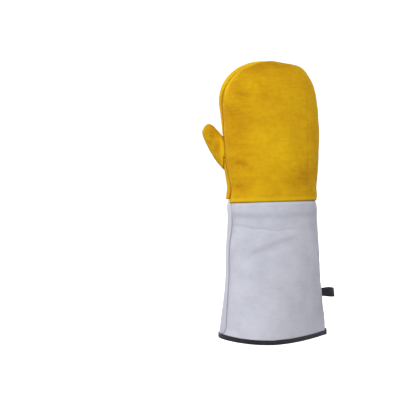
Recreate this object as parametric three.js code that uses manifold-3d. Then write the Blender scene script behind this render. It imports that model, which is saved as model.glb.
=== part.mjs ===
// Leather barbecue mitt for the right hand, standing on the open hem of its cuff.
// Millimetres. X runs across the hand toward the little finger, Y from the back of the hand
// toward the palm, and Z from the hem up to the fingertips.

import * as THREE from 'three';
import { mergeVertices } from 'three/addons/utils/BufferGeometryUtils.js';
import Module from 'manifold-3d';

const wasm = await Module();
wasm.setup();

// Sheet and sewing sizes
const WALL = 2.4;
const GAP = 0.3;
const SEAM_ALLOWANCE = 6;
const STITCH_MARGIN = 1;
const HAND_ROLL = 5.5;
const CUFF_ROLL = 4;
const THUMB_ROLL = 3.6;

// Heights of the cuff's cut edge and of the seam that joins the hand to the cuff
const CUFF_BOTTOM = 2;
const JOINT_Z = 210;
const JOINT_VALLEY = 1.6;
const JOINT_VALLEY_WIDTH = 3.2;

// The back's joint line runs a little lower on the thumb side
const JOINT_DIP_LEFT = 5.5;
const JOINT_DIP_RIGHT = 1.2;
const JOINT_DIP_REACH = 42;
const JOINT_HALF_WIDTH = 70;

// Centre that the fingertip dome's ribs fan around
const DOME = { x: -3.6, z: 345 };

// Outline and depth of the hand at each height. Left is the thumb side. The insets say how far
// each panel's edge stays inside the outline, so that the other panel's rolled edge shows.
const HAND_SECTIONS = [
  { z: 210, left: -72.4, right: 69.4, backInset: 5.6, backDepth: 36, palmDepth: 36 },
  { z: 227, left: -68.8, right: 68.0, backInset: 4.6, backDepth: 36.6, palmDepth: 38 },
  { z: 252, left: -72.8, right: 70.0, backInset: 3.6, backDepth: 37, palmDepth: 40 },
  { z: 276, left: -75.2, right: 71.6, backInset: 1.6, backDepth: 36.8, palmDepth: 40.6 },
  { z: 313, left: -76.4, right: 72.6, backInset: 0.8, backDepth: 35.6, palmDepth: 39.2 },
  { z: 345, left: -79.8, right: 70.8, backInset: 2.2, backDepth: 35, palmDepth: 38.2 },
];
const HAND_RISES = [0, 2.5, 6, 11, 18, 28, 40, 54, 68, 84, 100, 118, 135];
const HAND_CROWN = 2.25;
const HAND_EDGE = 0.45;
const RIGHT_PALM_INSET = 1;

// Outline of the dome and the back panel's inset around it, by angle from the little-finger side
// over the top. The outline turns at a blunt corner over the little finger.
const DOME_SECTIONS = [
  { angle: 0, radius: 74.4, inset: 0 },
  { angle: 10, radius: 73.6, inset: 0 },
  { angle: 20, radius: 75.2, inset: 0 },
  { angle: 30, radius: 77.6, inset: 0 },
  { angle: 40, radius: 79.6, inset: 0 },
  { angle: 50, radius: 81.7, inset: 0 },
  { angle: 57, radius: 81.5, inset: 0 },
  { angle: 66, radius: 79.5, inset: 0 },
  { angle: 77, radius: 78.8, inset: 0.2 },
  { angle: 90, radius: 79.9, inset: 1.0 },
  { angle: 104, radius: 80.9, inset: 2.6 },
  { angle: 118, radius: 82.3, inset: 4.0 },
  { angle: 132, radius: 83.5, inset: 4.6 },
  { angle: 144, radius: 83.8, inset: 4.6 },
  { angle: 156, radius: 83.0, inset: 4.4 },
  { angle: 168, radius: 79.8, inset: 3.6 },
  { angle: 180, radius: 76.2, inset: 2.2 },
];
const DOME_STEPS = 20;

// Outline and depth of the cuff at each height. The ridge is where its section is deepest. Edge
// says how full the section is by a seam (0.5 is an ellipse, 1 a wedge), and crown how round it is
// at the ridge (2 is round). Hidden by the photograph's angle, the palm side repeats the back.
const CUFF_SECTIONS = [
  { z: 2, left: -82.0, right: 85.2, leftInset: 0.4, rightInset: 0.4, ridge: -12, depth: 50.8,
    leftEdge: 0.67, rightEdge: 1, rightCrown: 1.65 },
  { z: 12, left: -81.2, right: 85.4, leftInset: 6.4, rightInset: 2.6, ridge: -11, depth: 49.8,
    leftEdge: 0.65, rightEdge: 0.96, rightCrown: 1.66 },
  { z: 24, left: -79.7, right: 84.9, leftInset: 7.4, rightInset: 3.2, ridge: -10, depth: 48.6,
    leftEdge: 0.62, rightEdge: 0.92, rightCrown: 1.68 },
  { z: 54, left: -75.7, right: 81.0, leftInset: 5.6, rightInset: 1.4, ridge: -8, depth: 46.2,
    leftEdge: 0.57, rightEdge: 0.8, rightCrown: 1.75 },
  { z: 85, left: -72.4, right: 76.7, leftInset: 4.2, rightInset: 0.2, ridge: -6, depth: 43.6,
    leftEdge: 0.54, rightEdge: 0.7, rightCrown: 1.85 },
  { z: 131, left: -71.4, right: 73.6, leftInset: 3.4, rightInset: 0, ridge: -3, depth: 40,
    leftEdge: 0.5, rightEdge: 0.56, rightCrown: 1.95 },
  { z: 162, left: -69.4, right: 71.0, leftInset: 4.0, rightInset: 0, ridge: -1, depth: 37.6,
    leftEdge: 0.5, rightEdge: 0.5, rightCrown: 2 },
  { z: 210, left: -69.2, right: 68.8, leftInset: 3.6, rightInset: 0, ridge: 0, depth: 35.6,
    leftEdge: 0.48, rightEdge: 0.48, rightCrown: 2.1 },
];
const CUFF_LEFT_CROWN = 2;
const CUFF_LEVELS = [2, 12, 26, 42, 60, 78, 96, 112, 126, 138, 148, 156, 162, 168, 175, 183, 192,
  200, 206, 210];

// Folds and dents pressed into the back, seen from the back. Depth is positive inward.
const BACK_FOLDS = [
  { name: 'wrist crease', x: -2, z: 165, length: 62, width: 4.5, depth: 1.3, tilt: -1 },
  { name: 'swell over the wrist crease', x: -6, z: 176, length: 60, width: 9, depth: -1.1, tilt: -2 },
  { name: 'slanting fold', x: -4, z: 138, length: 46, width: 7, depth: 1.6, tilt: 22 },
  { name: 'swell over the slanting fold', x: -12, z: 149, length: 40, width: 8, depth: -1.0, tilt: 18 },
  { name: 'dent by the thumb seam', x: -52, z: 226, length: 26, width: 12, depth: 1.6, tilt: 8 },
  { name: 'dent in the knuckles', x: -34, z: 356, length: 24, width: 14, depth: 1.4, tilt: 0 },
];
const NO_FOLDS = [];

// Thumb: its outline seen from the back, the point its tip fans around, and its depths
const THUMB_PLANE = 14;
const THUMB_OUTLINE = [
  { x: -56, z: 243 }, { x: -66, z: 250.5 }, { x: -76.4, z: 260.5 }, { x: -89, z: 276 },
  { x: -99.4, z: 294.5 }, { x: -105.8, z: 311 }, { x: -104.6, z: 320.5 }, { x: -98.6, z: 326.2 },
  { x: -91, z: 324 }, { x: -84.2, z: 317.4 }, { x: -76, z: 309.5 }, { x: -62, z: 300.5 },
];
const THUMB_ROOT = { x: -54, z: 268 };
const THUMB_TIP = { x: -96.2, z: 312 };
const THUMB_DEPTH_ROOT = 20;
const THUMB_DEPTH_TIP = 13;
const THUMB_CROWN = 2;
const THUMB_EDGE = 0.5;
const THUMB_SIDE_STEPS = 6;
const THUMB_TIP_STEPS = 8;
const THUMB_ALLOWANCE = 3;
const THUMB_MOUTH_CLEARANCE = 2.2;

// Hem tape, folded over the cut edge, and its lap at the little-finger seam
const TAPE = 1.2;
const TAPE_OUTER_HEIGHT = 7;
const TAPE_INNER_HEIGHT = 6;
const TAPE_FLOOR = CUFF_BOTTOM - GAP;
const LAP_THICKNESS = 1;
const LAP_RISE = 2;
const LAP_HALF_LENGTH = 8;
const HEM_STEPS = 10;

// Hanging loop: tape folded on itself, its root held in the little-finger seam
const LOOP_ROOT_X = 79.2;
const LOOP_Z = 65.5;
const LOOP_HEIGHT = 13;
const LOOP_LENGTH = 20.4;
const LOOP_TAPE = 1.5;
const LOOP_HALF_WIDTH = 6.6;
const LOOP_ROOT_HALF = 1.25;

const WELD = 1e-3;
const ARC_STEPS = 3;
const CROWN_STEPS = 6;
const BACK = -1;
const PALM = 1;

// Smooth value of one column of a table of sections, between its rows
function along(rows, key, column, at) {
  const last = rows.length - 2;
  let i = 0;
  while (i < last && at > rows[i + 1][key]) i += 1;
  const before = rows[Math.max(i - 1, 0)];
  const a = rows[i];
  const b = rows[i + 1];
  const after = rows[Math.min(i + 2, rows.length - 1)];
  const span = b[key] - a[key];
  const t = THREE.MathUtils.clamp((at - a[key]) / span, 0, 1);
  const slopeA = (b[column] - before[column]) / (b[key] - before[key]) * span;
  const slopeB = (after[column] - a[column]) / (after[key] - a[key]) * span;
  const t2 = t * t;
  const t3 = t2 * t;
  return (2 * t3 - 3 * t2 + 1) * a[column] + (t3 - 2 * t2 + t) * slopeA
    + (3 * t2 - 2 * t3) * b[column] + (t3 - t2) * slopeB;
}

// Point on a panel's crown, from the rolled edge at angle 0 to the ridge at a quarter turn: how
// far it still is from the ridge, and how high it stands, both as shares of the whole
function crownPoint(station, angle) {
  const across = Math.max(Math.cos(angle), 0) ** (2 / station.crown);
  return { across: across < 1e-6 ? 0 : across, up: Math.sin(angle) ** (2 * station.edgeFullness) };
}

// Section of a panel from its seam allowance, round its rolled edge, up to its crown. Each point
// gives the distance in from the panel's edge and the height over the seam plane. A wall of 0
// gives the outer face, and a wall of WALL the inner one.
function ribProfile(station, wall) {
  const { roll, reach, depth, crown, edgeFullness, stitch, allowance } = station;
  const floor = GAP / 2 + wall;
  const rollTop = GAP / 2 + roll;
  const rise = depth - rollTop;
  const points = [[stitch + allowance, floor], [stitch, floor]];
  for (let k = 0; k <= ARC_STEPS; k += 1) {
    const angle = (k / ARC_STEPS) * Math.PI / 2;
    points.push([roll - (roll - wall) * Math.sin(angle), rollTop - (roll - wall) * Math.cos(angle)]);
  }
  for (let k = 1; k <= CROWN_STEPS; k += 1) {
    const { across, up } = crownPoint(station, (k / CROWN_STEPS) * Math.PI / 2);
    const fallen = Math.max(1 - across ** crown, 1e-9);
    const steepness = rise * edgeFullness * crown * across ** (crown - 1)
      * fallen ** (edgeFullness - 1) / reach;
    const length = Math.hypot(steepness, 1);
    const inward = reach * (1 - across) + wall * steepness / length;
    points.push([inward, rollTop + rise * up - wall / length]);
  }
  return points;
}

function foldDepth(folds, x, z) {
  let sum = 0;
  for (const fold of folds) {
    const angle = THREE.MathUtils.degToRad(fold.tilt);
    const dx = x - fold.x;
    const dz = z - fold.z;
    const alongFold = (dx * Math.cos(angle) + dz * Math.sin(angle)) / fold.length;
    const acrossFold = (dz * Math.cos(angle) - dx * Math.sin(angle)) / fold.width;
    sum += fold.depth * Math.exp(-alongFold * alongFold - acrossFold * acrossFold);
  }
  return sum;
}

// The back's joint line, and what lies near it, dips toward the thumb side
function jointDip(x, z) {
  const t = THREE.MathUtils.clamp((x + JOINT_HALF_WIDTH) / (2 * JOINT_HALF_WIDTH), 0, 1);
  const fade = Math.exp(-(((z - JOINT_Z) / JOINT_DIP_REACH) ** 2));
  return -THREE.MathUtils.lerp(JOINT_DIP_LEFT, JOINT_DIP_RIGHT, t) * fade;
}

// Puts one point of a rib's profile in space
function placeOnRib(station, [inward, height], side, look) {
  const raised = THREE.MathUtils.clamp((height - GAP / 2) / station.roll, 0, 1);
  const nearJoint = Math.exp(-(((station.edge.y - JOINT_Z) / JOINT_VALLEY_WIDTH) ** 2));
  const valley = look.joint ? JOINT_VALLEY * nearJoint : 0;
  const e = inward + valley * raised * (1 - inward / station.reach);
  const x = station.edge.x + station.inward.x * e;
  const z = station.edge.y + station.inward.y * e;
  const crown = THREE.MathUtils.smoothstep(height, 0.35 * station.depth, 0.75 * station.depth);
  const h = height - valley * raised - crown * foldDepth(look.folds, x, z);
  const dip = look.joint && side === BACK ? jointDip(x, z) : 0;
  return new THREE.Vector3(x, look.plane + side * h, z + dip);
}

function makeStation(outline, spine, depth, inset, stitchFromOutline, shape) {
  const inward = spine.clone().sub(outline);
  const width = inward.length();
  inward.divideScalar(width);
  const edge = outline.clone().addScaledVector(inward, inset);
  return { edge, inward, reach: width - inset, depth, stitch: stitchFromOutline - inset, ...shape };
}

// Closed mesh from an outer and an inner grid of points. Rows run round the panel and columns
// run from its seam allowance inward. A panel that isn't closed at its last column gets an edge there.
function shellGeometry(outer, inner, closeLastColumn) {
  const positions = [];
  const triangle = (a, b, c) => {
    const area = new THREE.Vector3().subVectors(b, a).cross(new THREE.Vector3().subVectors(c, a)).length();
    if (area > 1e-7) positions.push(a, b, c);
  };
  const quad = (a, b, c, d) => {
    triangle(a, b, c);
    triangle(a, c, d);
  };
  const rows = outer.length;
  const columns = outer[0].length;
  for (let i = 0; i + 1 < rows; i += 1) {
    for (let j = 0; j + 1 < columns; j += 1) {
      quad(outer[i][j], outer[i + 1][j], outer[i + 1][j + 1], outer[i][j + 1]);
      quad(inner[i][j], inner[i][j + 1], inner[i + 1][j + 1], inner[i + 1][j]);
    }
    quad(outer[i][0], inner[i][0], inner[i + 1][0], outer[i + 1][0]);
    if (closeLastColumn) {
      const j = columns - 1;
      quad(outer[i][j], outer[i + 1][j], inner[i + 1][j], inner[i][j]);
    }
  }
  for (let j = 0; j + 1 < columns; j += 1) {
    quad(outer[0][j], outer[0][j + 1], inner[0][j + 1], inner[0][j]);
    quad(outer[rows - 1][j], inner[rows - 1][j], inner[rows - 1][j + 1], outer[rows - 1][j + 1]);
  }
  return solidFacingOut(positions);
}

function solidFacingOut(points) {
  let volume = 0;
  for (let i = 0; i < points.length; i += 3) {
    volume += points[i].dot(new THREE.Vector3().crossVectors(points[i + 1], points[i + 2]));
  }
  const ordered = [];
  for (let i = 0; i < points.length; i += 3) {
    const flipped = volume < 0;
    ordered.push(points[i], points[flipped ? i + 2 : i + 1], points[flipped ? i + 1 : i + 2]);
  }
  return welded(new THREE.BufferGeometry().setFromPoints(ordered));
}

// Merges points that coincide and drops the triangles that this flattens
function welded(geometry) {
  const merged = mergeVertices(geometry, WELD);
  const index = merged.index.array;
  const kept = [];
  for (let i = 0; i < index.length; i += 3) {
    const [a, b, c] = [index[i], index[i + 1], index[i + 2]];
    if (a !== b && b !== c && c !== a) kept.push(a, b, c);
  }
  merged.setIndex(kept);
  return merged;
}

// Half panels with a fan at one end: the hand round its dome, and the thumb round its tip
function fannedShell(stations, side, look) {
  const face = (wall) => stations.map((s) => ribProfile(s, wall).map((p) => placeOnRib(s, p, side, look)));
  return shellGeometry(face(0), face(WALL), false);
}

// Filled body between a seam plane and a panel's outer face, grown or shrunk by a margin
function fannedFill(stations, side, look, margin) {
  const outer = stations.map((s) => {
    const profile = ribProfile(s, 0).slice(1 + ARC_STEPS);
    const grown = profile.map(([e, h], k) => {
      const share = k / (profile.length - 1);
      return [e - margin * (1 - share), h + margin * share];
    });
    return [[-margin, 0], ...grown].map((p) => placeOnRib(s, p, side, look));
  });
  const base = stations.map((s, i) => outer[i].map((p, j) => {
    const share = j / (outer[i].length - 1);
    return placeOnRib(s, [-margin + (s.reach + margin) * share, -0.05], side, look);
  }));
  return shellGeometry(outer, base, false);
}

function toManifold(geometry) {
  const mesh = new wasm.Mesh({
    numProp: 3,
    vertProperties: new Float32Array(geometry.attributes.position.array),
    triVerts: new Uint32Array(geometry.index.array),
  });
  return new wasm.Manifold(mesh);
}

function fromManifold(solid) {
  const mesh = solid.getMesh();
  const geometry = new THREE.BufferGeometry();
  geometry.setAttribute('position', new THREE.BufferAttribute(mesh.vertProperties, mesh.numProp));
  geometry.setIndex(new THREE.BufferAttribute(mesh.triVerts, 1));
  return geometry;
}

function cut(geometry, cutters) {
  let solid = toManifold(geometry);
  for (const cutter of cutters) solid = solid.subtract(toManifold(cutter));
  return fromManifold(solid);
}

// Hand panels

function handStation(side, outline, spine, depth, inset) {
  const backReach = inset.back + HAND_ROLL;
  const palmReach = inset.palm + HAND_ROLL;
  const stitch = Math.max(backReach, palmReach) + STITCH_MARGIN;
  const shape = {
    roll: HAND_ROLL,
    crown: HAND_CROWN,
    edgeFullness: HAND_EDGE,
    allowance: SEAM_ALLOWANCE,
  };
  const own = side === BACK ? inset.back : inset.palm;
  return makeStation(outline, spine, depth, own, stitch, shape);
}

function handStations(side) {
  const depthColumn = side === BACK ? 'backDepth' : 'palmDepth';
  const section = (column, z) => along(HAND_SECTIONS, 'z', column, z);
  const sideStation = (edgeColumn, rise) => {
    const z = JOINT_Z + rise;
    const leftSide = edgeColumn === 'left';
    const middle = THREE.MathUtils.lerp(0, DOME.x, rise / (DOME.z - JOINT_Z));
    const inset = leftSide
      ? { back: section('backInset', z), palm: 0 }
      : { back: 0, palm: RIGHT_PALM_INSET };
    const lifted = rise === 0 ? z + GAP / 2 : z;
    const outline = new THREE.Vector2(section(edgeColumn, z), lifted);
    return handStation(side, outline, new THREE.Vector2(middle, lifted), section(depthColumn, z), inset);
  };
  const stations = HAND_RISES.map((rise) => sideStation('left', rise));
  const centre = new THREE.Vector2(DOME.x, DOME.z);
  const depth = section(depthColumn, DOME.z);
  for (let k = 1; k < DOME_STEPS; k += 1) {
    const angle = Math.PI * (1 - k / DOME_STEPS);
    const degrees = THREE.MathUtils.radToDeg(angle);
    const radius = along(DOME_SECTIONS, 'angle', 'radius', degrees);
    const outline = new THREE.Vector2(DOME.x + radius * Math.cos(angle), DOME.z + radius * Math.sin(angle));
    const inset = {
      back: along(DOME_SECTIONS, 'angle', 'inset', degrees),
      palm: RIGHT_PALM_INSET * THREE.MathUtils.smoothstep(90 - degrees, 0, 60),
    };
    stations.push(handStation(side, outline, centre, depth, inset));
  }
  return stations.concat(HAND_RISES.toReversed().map((rise) => sideStation('right', rise)));
}

const HAND_LOOK = {
  [BACK]: { plane: 0, joint: true, folds: BACK_FOLDS },
  [PALM]: { plane: 0, joint: true, folds: NO_FOLDS },
};

// Thumb: two half shells whose root is trimmed to the hand, and whose hollow opens into it

function thumbStations(depthMargin, edgeInset) {
  const outline = new THREE.SplineCurve(THUMB_OUTLINE.map((p) => new THREE.Vector2(p.x, p.z)));
  const root = new THREE.Vector2(THUMB_ROOT.x, THUMB_ROOT.z);
  const tip = new THREE.Vector2(THUMB_TIP.x, THUMB_TIP.z);
  const stations = [];
  const steps = 2 * THUMB_SIDE_STEPS + THUMB_TIP_STEPS;
  for (let k = 0; k <= steps; k += 1) {
    const fromEnd = Math.min(k, steps - k);
    const share = Math.min(fromEnd / THUMB_SIDE_STEPS, 1);
    const spine = root.clone().lerp(tip, share);
    const depth = THREE.MathUtils.lerp(THUMB_DEPTH_ROOT, THUMB_DEPTH_TIP, share) - depthMargin;
    const shape = {
      roll: THUMB_ROLL,
      crown: THUMB_CROWN,
      edgeFullness: THUMB_EDGE,
      allowance: THUMB_ALLOWANCE,
    };
    const point = outline.getPointAt(k / steps);
    stations.push(makeStation(point, spine, depth, edgeInset, edgeInset + THUMB_ROLL + STITCH_MARGIN, shape));
  }
  return stations;
}

const THUMB_LOOK = { plane: THUMB_PLANE, joint: false, folds: NO_FOLDS };

// Cuff panels

function cuffStation(side, edgeColumn, z) {
  const section = (column) => along(CUFF_SECTIONS, 'z', column, z);
  const leftSide = edgeColumn === 'left';
  const backInset = section(leftSide ? 'leftInset' : 'rightInset');
  const stitch = backInset + CUFF_ROLL + STITCH_MARGIN;
  const shape = {
    roll: CUFF_ROLL,
    crown: leftSide ? CUFF_LEFT_CROWN : section('rightCrown'),
    edgeFullness: section(leftSide ? 'leftEdge' : 'rightEdge'),
    allowance: SEAM_ALLOWANCE,
  };
  const level = z === JOINT_Z ? z - GAP / 2 : z;
  const outline = new THREE.Vector2(section(edgeColumn), level);
  const spine = new THREE.Vector2(section('ridge'), level);
  return makeStation(outline, spine, section('depth'), side === BACK ? backInset : 0, stitch, shape);
}

function cuffPanel(side) {
  const look = HAND_LOOK[side];
  const face = (wall) => CUFF_LEVELS.map((z) => {
    const half = (column) => {
      const station = cuffStation(side, column, z);
      return ribProfile(station, wall).map((p) => placeOnRib(station, p, side, look));
    };
    return half('left').concat(half('right').toReversed().slice(1));
  });
  return shellGeometry(face(0), face(WALL), true);
}

// Hem tape: a U-shaped section carried round the cuff's edge

function hemPath() {
  const crown = (side, column) => {
    const station = cuffStation(side, column, CUFF_BOTTOM);
    const rollTop = GAP / 2 + station.roll;
    const points = [];
    for (let k = 0; k <= HEM_STEPS; k += 1) {
      const { across, up } = crownPoint(station, (k / HEM_STEPS) * Math.PI / 2);
      const height = rollTop + (station.depth - rollTop) * up;
      const x = station.edge.x + station.inward.x * station.reach * (1 - across);
      points.push(new THREE.Vector2(x, side * height));
    }
    return points;
  };
  const back = crown(BACK, 'left').concat(crown(BACK, 'right').toReversed().slice(1));
  const palm = crown(PALM, 'right').concat(crown(PALM, 'left').toReversed().slice(1));
  return back.concat(palm);
}

function ringGeometry(path, sectionAt) {
  const count = path.length;
  const rings = path.map((point, i) => {
    const before = path[(i + count - 1) % count];
    const after = path[(i + 1) % count];
    const tangentIn = point.clone().sub(before).normalize();
    const tangentOut = after.clone().sub(point).normalize();
    const tangent = tangentIn.clone().add(tangentOut).normalize();
    const outward = new THREE.Vector2(tangent.y, -tangent.x);
    const mitre = 1 / Math.max(tangent.dot(tangentIn), 0.8);
    return sectionAt(point).map(([offset, z]) => new THREE.Vector3(
      point.x + outward.x * offset * mitre, point.y + outward.y * offset * mitre, z));
  });
  const positions = [];
  const sides = rings[0].length;
  for (let i = 0; i < count; i += 1) {
    const next = rings[(i + 1) % count];
    for (let j = 0; j < sides; j += 1) {
      const k = (j + 1) % sides;
      positions.push(rings[i][j], next[j], next[k], rings[i][j], next[k], rings[i][k]);
    }
  }
  return solidFacingOut(positions);
}

function tapeSection(point) {
  const lap = point.x > 0 ? 1 - THREE.MathUtils.smoothstep(Math.abs(point.y), LAP_HALF_LENGTH / 2,
    LAP_HALF_LENGTH) : 0;
  const outside = GAP + TAPE + LAP_THICKNESS * lap;
  const top = TAPE_OUTER_HEIGHT + LAP_RISE * lap;
  const inside = -WALL - GAP;
  return [
    [outside, 0], [outside, top], [GAP, top], [GAP, TAPE_FLOOR], [inside, TAPE_FLOOR],
    [inside, TAPE_INNER_HEIGHT], [inside - TAPE, TAPE_INNER_HEIGHT], [inside - TAPE, 0],
  ];
}

// Room for the tape's inner leg, trimmed out of the ends of the side seams
function tapeRoomSection() {
  const margin = 0.25;
  const near = -WALL - GAP + margin;
  const far = -WALL - GAP - TAPE - margin;
  const top = TAPE_INNER_HEIGHT + margin;
  return [[near, -1], [near, top], [far, top], [far, -1]];
}

function hangingLoop() {
  const width = LOOP_HALF_WIDTH;
  const outline = (inset) => {
    const root = LOOP_ROOT_HALF - inset;
    const half = width - inset;
    const end = LOOP_LENGTH - inset;
    const start = inset > 0 ? LOOP_LENGTH * 0.3 : 0;
    const path = inset > 0 ? new THREE.Path() : new THREE.Shape();
    const narrow = Math.max(root, 0.35);
    path.moveTo(start, -narrow);
    path.bezierCurveTo(LOOP_LENGTH * 0.4, -narrow, LOOP_LENGTH * 0.4, -half, LOOP_LENGTH * 0.7, -half);
    path.quadraticCurveTo(end, -half, end, 0);
    path.quadraticCurveTo(end, half, LOOP_LENGTH * 0.7, half);
    path.bezierCurveTo(LOOP_LENGTH * 0.4, half, LOOP_LENGTH * 0.4, narrow, start, narrow);
    path.closePath();
    return path;
  };
  const shape = outline(0);
  shape.holes.push(outline(LOOP_TAPE));
  const length = { depth: LOOP_HEIGHT, bevelEnabled: false, curveSegments: 6 };
  const geometry = new THREE.ExtrudeGeometry(shape, length);
  geometry.translate(LOOP_ROOT_X, 0, LOOP_Z - LOOP_HEIGHT / 2);
  geometry.deleteAttribute('normal');
  geometry.deleteAttribute('uv');
  return welded(geometry);
}

// Assembly

const yellowSuede = new THREE.MeshStandardMaterial({ color: '#cf9f17', roughness: 0.9, metalness: 0 });
const greyLeather = new THREE.MeshStandardMaterial({ color: '#bfc0c9', roughness: 0.85, metalness: 0 });
const blackTape = new THREE.MeshStandardMaterial({ color: '#26232a', roughness: 0.9, metalness: 0 });

const glove = new THREE.Group();

function add(name, geometry, material) {
  geometry.deleteAttribute('normal');
  geometry.computeVertexNormals();
  const mesh = new THREE.Mesh(geometry, material);
  mesh.name = name;
  glove.add(mesh);
}

const handBody = [BACK, PALM].map((side) => fannedFill(handStations(side), side, HAND_LOOK[side], GAP));
const thumbHollow = [BACK, PALM].map((side) => {
  const margin = side === BACK ? WALL + THUMB_MOUTH_CLEARANCE : WALL;
  return fannedFill(thumbStations(margin, WALL), side, THUMB_LOOK, 0);
});
const tapeRoom = ringGeometry(hemPath(), tapeRoomSection);

add('hand_back', fannedShell(handStations(BACK), BACK, HAND_LOOK[BACK]), yellowSuede);
add('hand_palm', cut(fannedShell(handStations(PALM), PALM, HAND_LOOK[PALM]), thumbHollow), yellowSuede);
add('thumb_back', cut(fannedShell(thumbStations(0, 0), BACK, THUMB_LOOK), handBody), yellowSuede);
add('thumb_palm', cut(fannedShell(thumbStations(0, 0), PALM, THUMB_LOOK), handBody), yellowSuede);
add('cuff_back', cut(cuffPanel(BACK), [tapeRoom]), greyLeather);
add('cuff_palm', cut(cuffPanel(PALM), [tapeRoom]), greyLeather);
add('hem_binding', ringGeometry(hemPath(), tapeSection), blackTape);
add('hanging_loop', hangingLoop(), blackTape);

// The origin is the middle of the glove's footprint, at the floor
const box = new THREE.Box3().setFromObject(glove);
const middle = box.getCenter(new THREE.Vector3());
glove.position.set(-middle.x, -middle.y, -box.min.z);

export default glove;
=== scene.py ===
# A long leather barbecue mitt for the right hand, standing on the open hem of its cuff.
# The shapes below are worked out in millimetres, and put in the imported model's frame in metres.

import math
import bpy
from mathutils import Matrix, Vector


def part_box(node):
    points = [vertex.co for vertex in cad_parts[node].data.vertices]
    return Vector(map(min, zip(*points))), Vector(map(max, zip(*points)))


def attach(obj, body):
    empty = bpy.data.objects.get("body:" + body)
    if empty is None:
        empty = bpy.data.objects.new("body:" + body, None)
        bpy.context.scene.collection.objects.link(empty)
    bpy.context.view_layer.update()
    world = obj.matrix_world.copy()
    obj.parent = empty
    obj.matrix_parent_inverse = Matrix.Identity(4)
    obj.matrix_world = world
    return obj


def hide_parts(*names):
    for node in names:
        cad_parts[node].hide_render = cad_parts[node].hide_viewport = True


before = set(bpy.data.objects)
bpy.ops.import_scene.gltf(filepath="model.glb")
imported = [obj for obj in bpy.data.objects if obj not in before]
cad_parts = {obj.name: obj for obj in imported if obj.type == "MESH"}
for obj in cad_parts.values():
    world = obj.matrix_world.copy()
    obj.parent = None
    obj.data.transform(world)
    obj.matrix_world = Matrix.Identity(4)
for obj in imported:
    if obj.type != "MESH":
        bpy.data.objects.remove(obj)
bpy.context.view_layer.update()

from types import SimpleNamespace

import bpy
import numpy as np
from mathutils import Vector, noise
from mathutils.bvhtree import BVHTree


# Back of the hand: one panel of yellow split leather over a soft lining. It is sewn to the palm
# round its edge and turned, so its edge rolls into the seam, and its foot rolls into the joint
# with the cuff.

MM = 0.001
LOOP_ROOT = 79.2
LOOP_LENGTH = 20.4
shift_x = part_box("hanging_loop")[1][0] - (LOOP_ROOT + LOOP_LENGTH) * MM

WALL = 2.4
SEAM_GAP = 0.02
SEAM_ALLOWANCE = 6
STITCH_MARGIN = 1
JOINT = 210
JOINT_GAP = 0.15
FOOT_ROLL = 1.9
FOOT_PULL = 1.0
FOOT_PULL_REACH = 7
JOINT_DIP_LEFT = 5.5
JOINT_DIP_RIGHT = 1.2
JOINT_DIP_REACH = 42
JOINT_HALF_WIDTH = 70
BACK = -1
PALM = 1
WELDS_PER_MM = 2000


def table(columns, *rows):
    """A short table, as one array of numbers for each named column."""
    return dict(zip(columns.split(), np.array(rows, float).T))


def smooth_curve(t, span, start, end, start_slope, end_slope):
    """Smooth run from one value to the next over a span, with given slopes at its ends."""
    return ((2 * t**3 - 3 * t**2 + 1) * start + (t**3 - 2 * t**2 + t) * span * start_slope
            + (3 * t**2 - 2 * t**3) * end + (t**3 - t**2) * span * end_slope)


def smoothstep(value, low=0.0, high=1.0):
    """0 below low, 1 above high, and smooth between."""
    share = np.clip((value - low) / (high - low), 0, 1)
    return share * share * (3 - 2 * share)


def rising(value, start, span):
    """0 up to a start, and from there evenly up to 1 over a span."""
    return np.clip((value - start) / span, 0, 1)


def read_off(rows, column, at, key="height"):
    """Smooth value of a table's column between its rows."""
    keys, values = rows[key], rows[column]
    last = len(keys) - 1
    at = np.clip(at, keys[0], keys[-1])
    i = np.clip(np.searchsorted(keys, at, side="right") - 1, 0, last - 1)
    before, after = np.arange(last + 1) - 1, np.arange(last + 1) + 1
    before, after = np.clip(before, 0, last), np.clip(after, 0, last)
    slopes = (values[after] - values[before]) / (keys[after] - keys[before])
    span = keys[i + 1] - keys[i]
    t = (at - keys[i]) / span
    return smooth_curve(t, span, values[i], values[i + 1], slopes[i], slopes[i + 1])


def run_length(points):
    """Distance along a line of points, from its first to each of them."""
    return np.concatenate([[0], np.cumsum(np.linalg.norm(np.diff(points, axis=0), axis=1))])


def ribs(side, outline, spine, back_inset, palm_inset, roll, plane=0, foot=None, **shape):
    """Ribs from a panel's outline to its spine, over its seam plane. Each panel stays inside the
    outline by its inset, and where the other one stays in further, this one's rolled edge shows
    beyond the seam. Foot is each rib's distance from the joint, where the panel has a foot there."""
    inset, other_inset = (back_inset, palm_inset) if side == BACK else (palm_inset, back_inset)
    inward = spine - outline
    width = np.linalg.norm(inward, axis=1)
    inward = inward / width[:, None]
    full = {key: np.broadcast_to(value, width.shape) for key, value in shape.items()}
    edge = outline + inward * inset[:, None]
    stitch = np.maximum(inset, other_inset) + roll + STITCH_MARGIN - inset
    return SimpleNamespace(side=side, plane=plane, foot=foot, edge=edge, inward=inward,
                           reach=width - inset, stitch=stitch, roll=np.full_like(width, roll),
                           shown=np.maximum(other_inset - inset, 0), along=run_length(edge), **full)


def crown_point(turn, crown, fullness):
    """Point on a crown, from its edge at 0 to its ridge at a quarter turn, as shares of the whole:
    how far it still is from the ridge, and how high it stands."""
    across = np.maximum(np.cos(turn), 0) ** (2 / crown)
    return np.where(across < 1e-6, 0, across), np.sin(turn) ** (2 * fullness)


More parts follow.
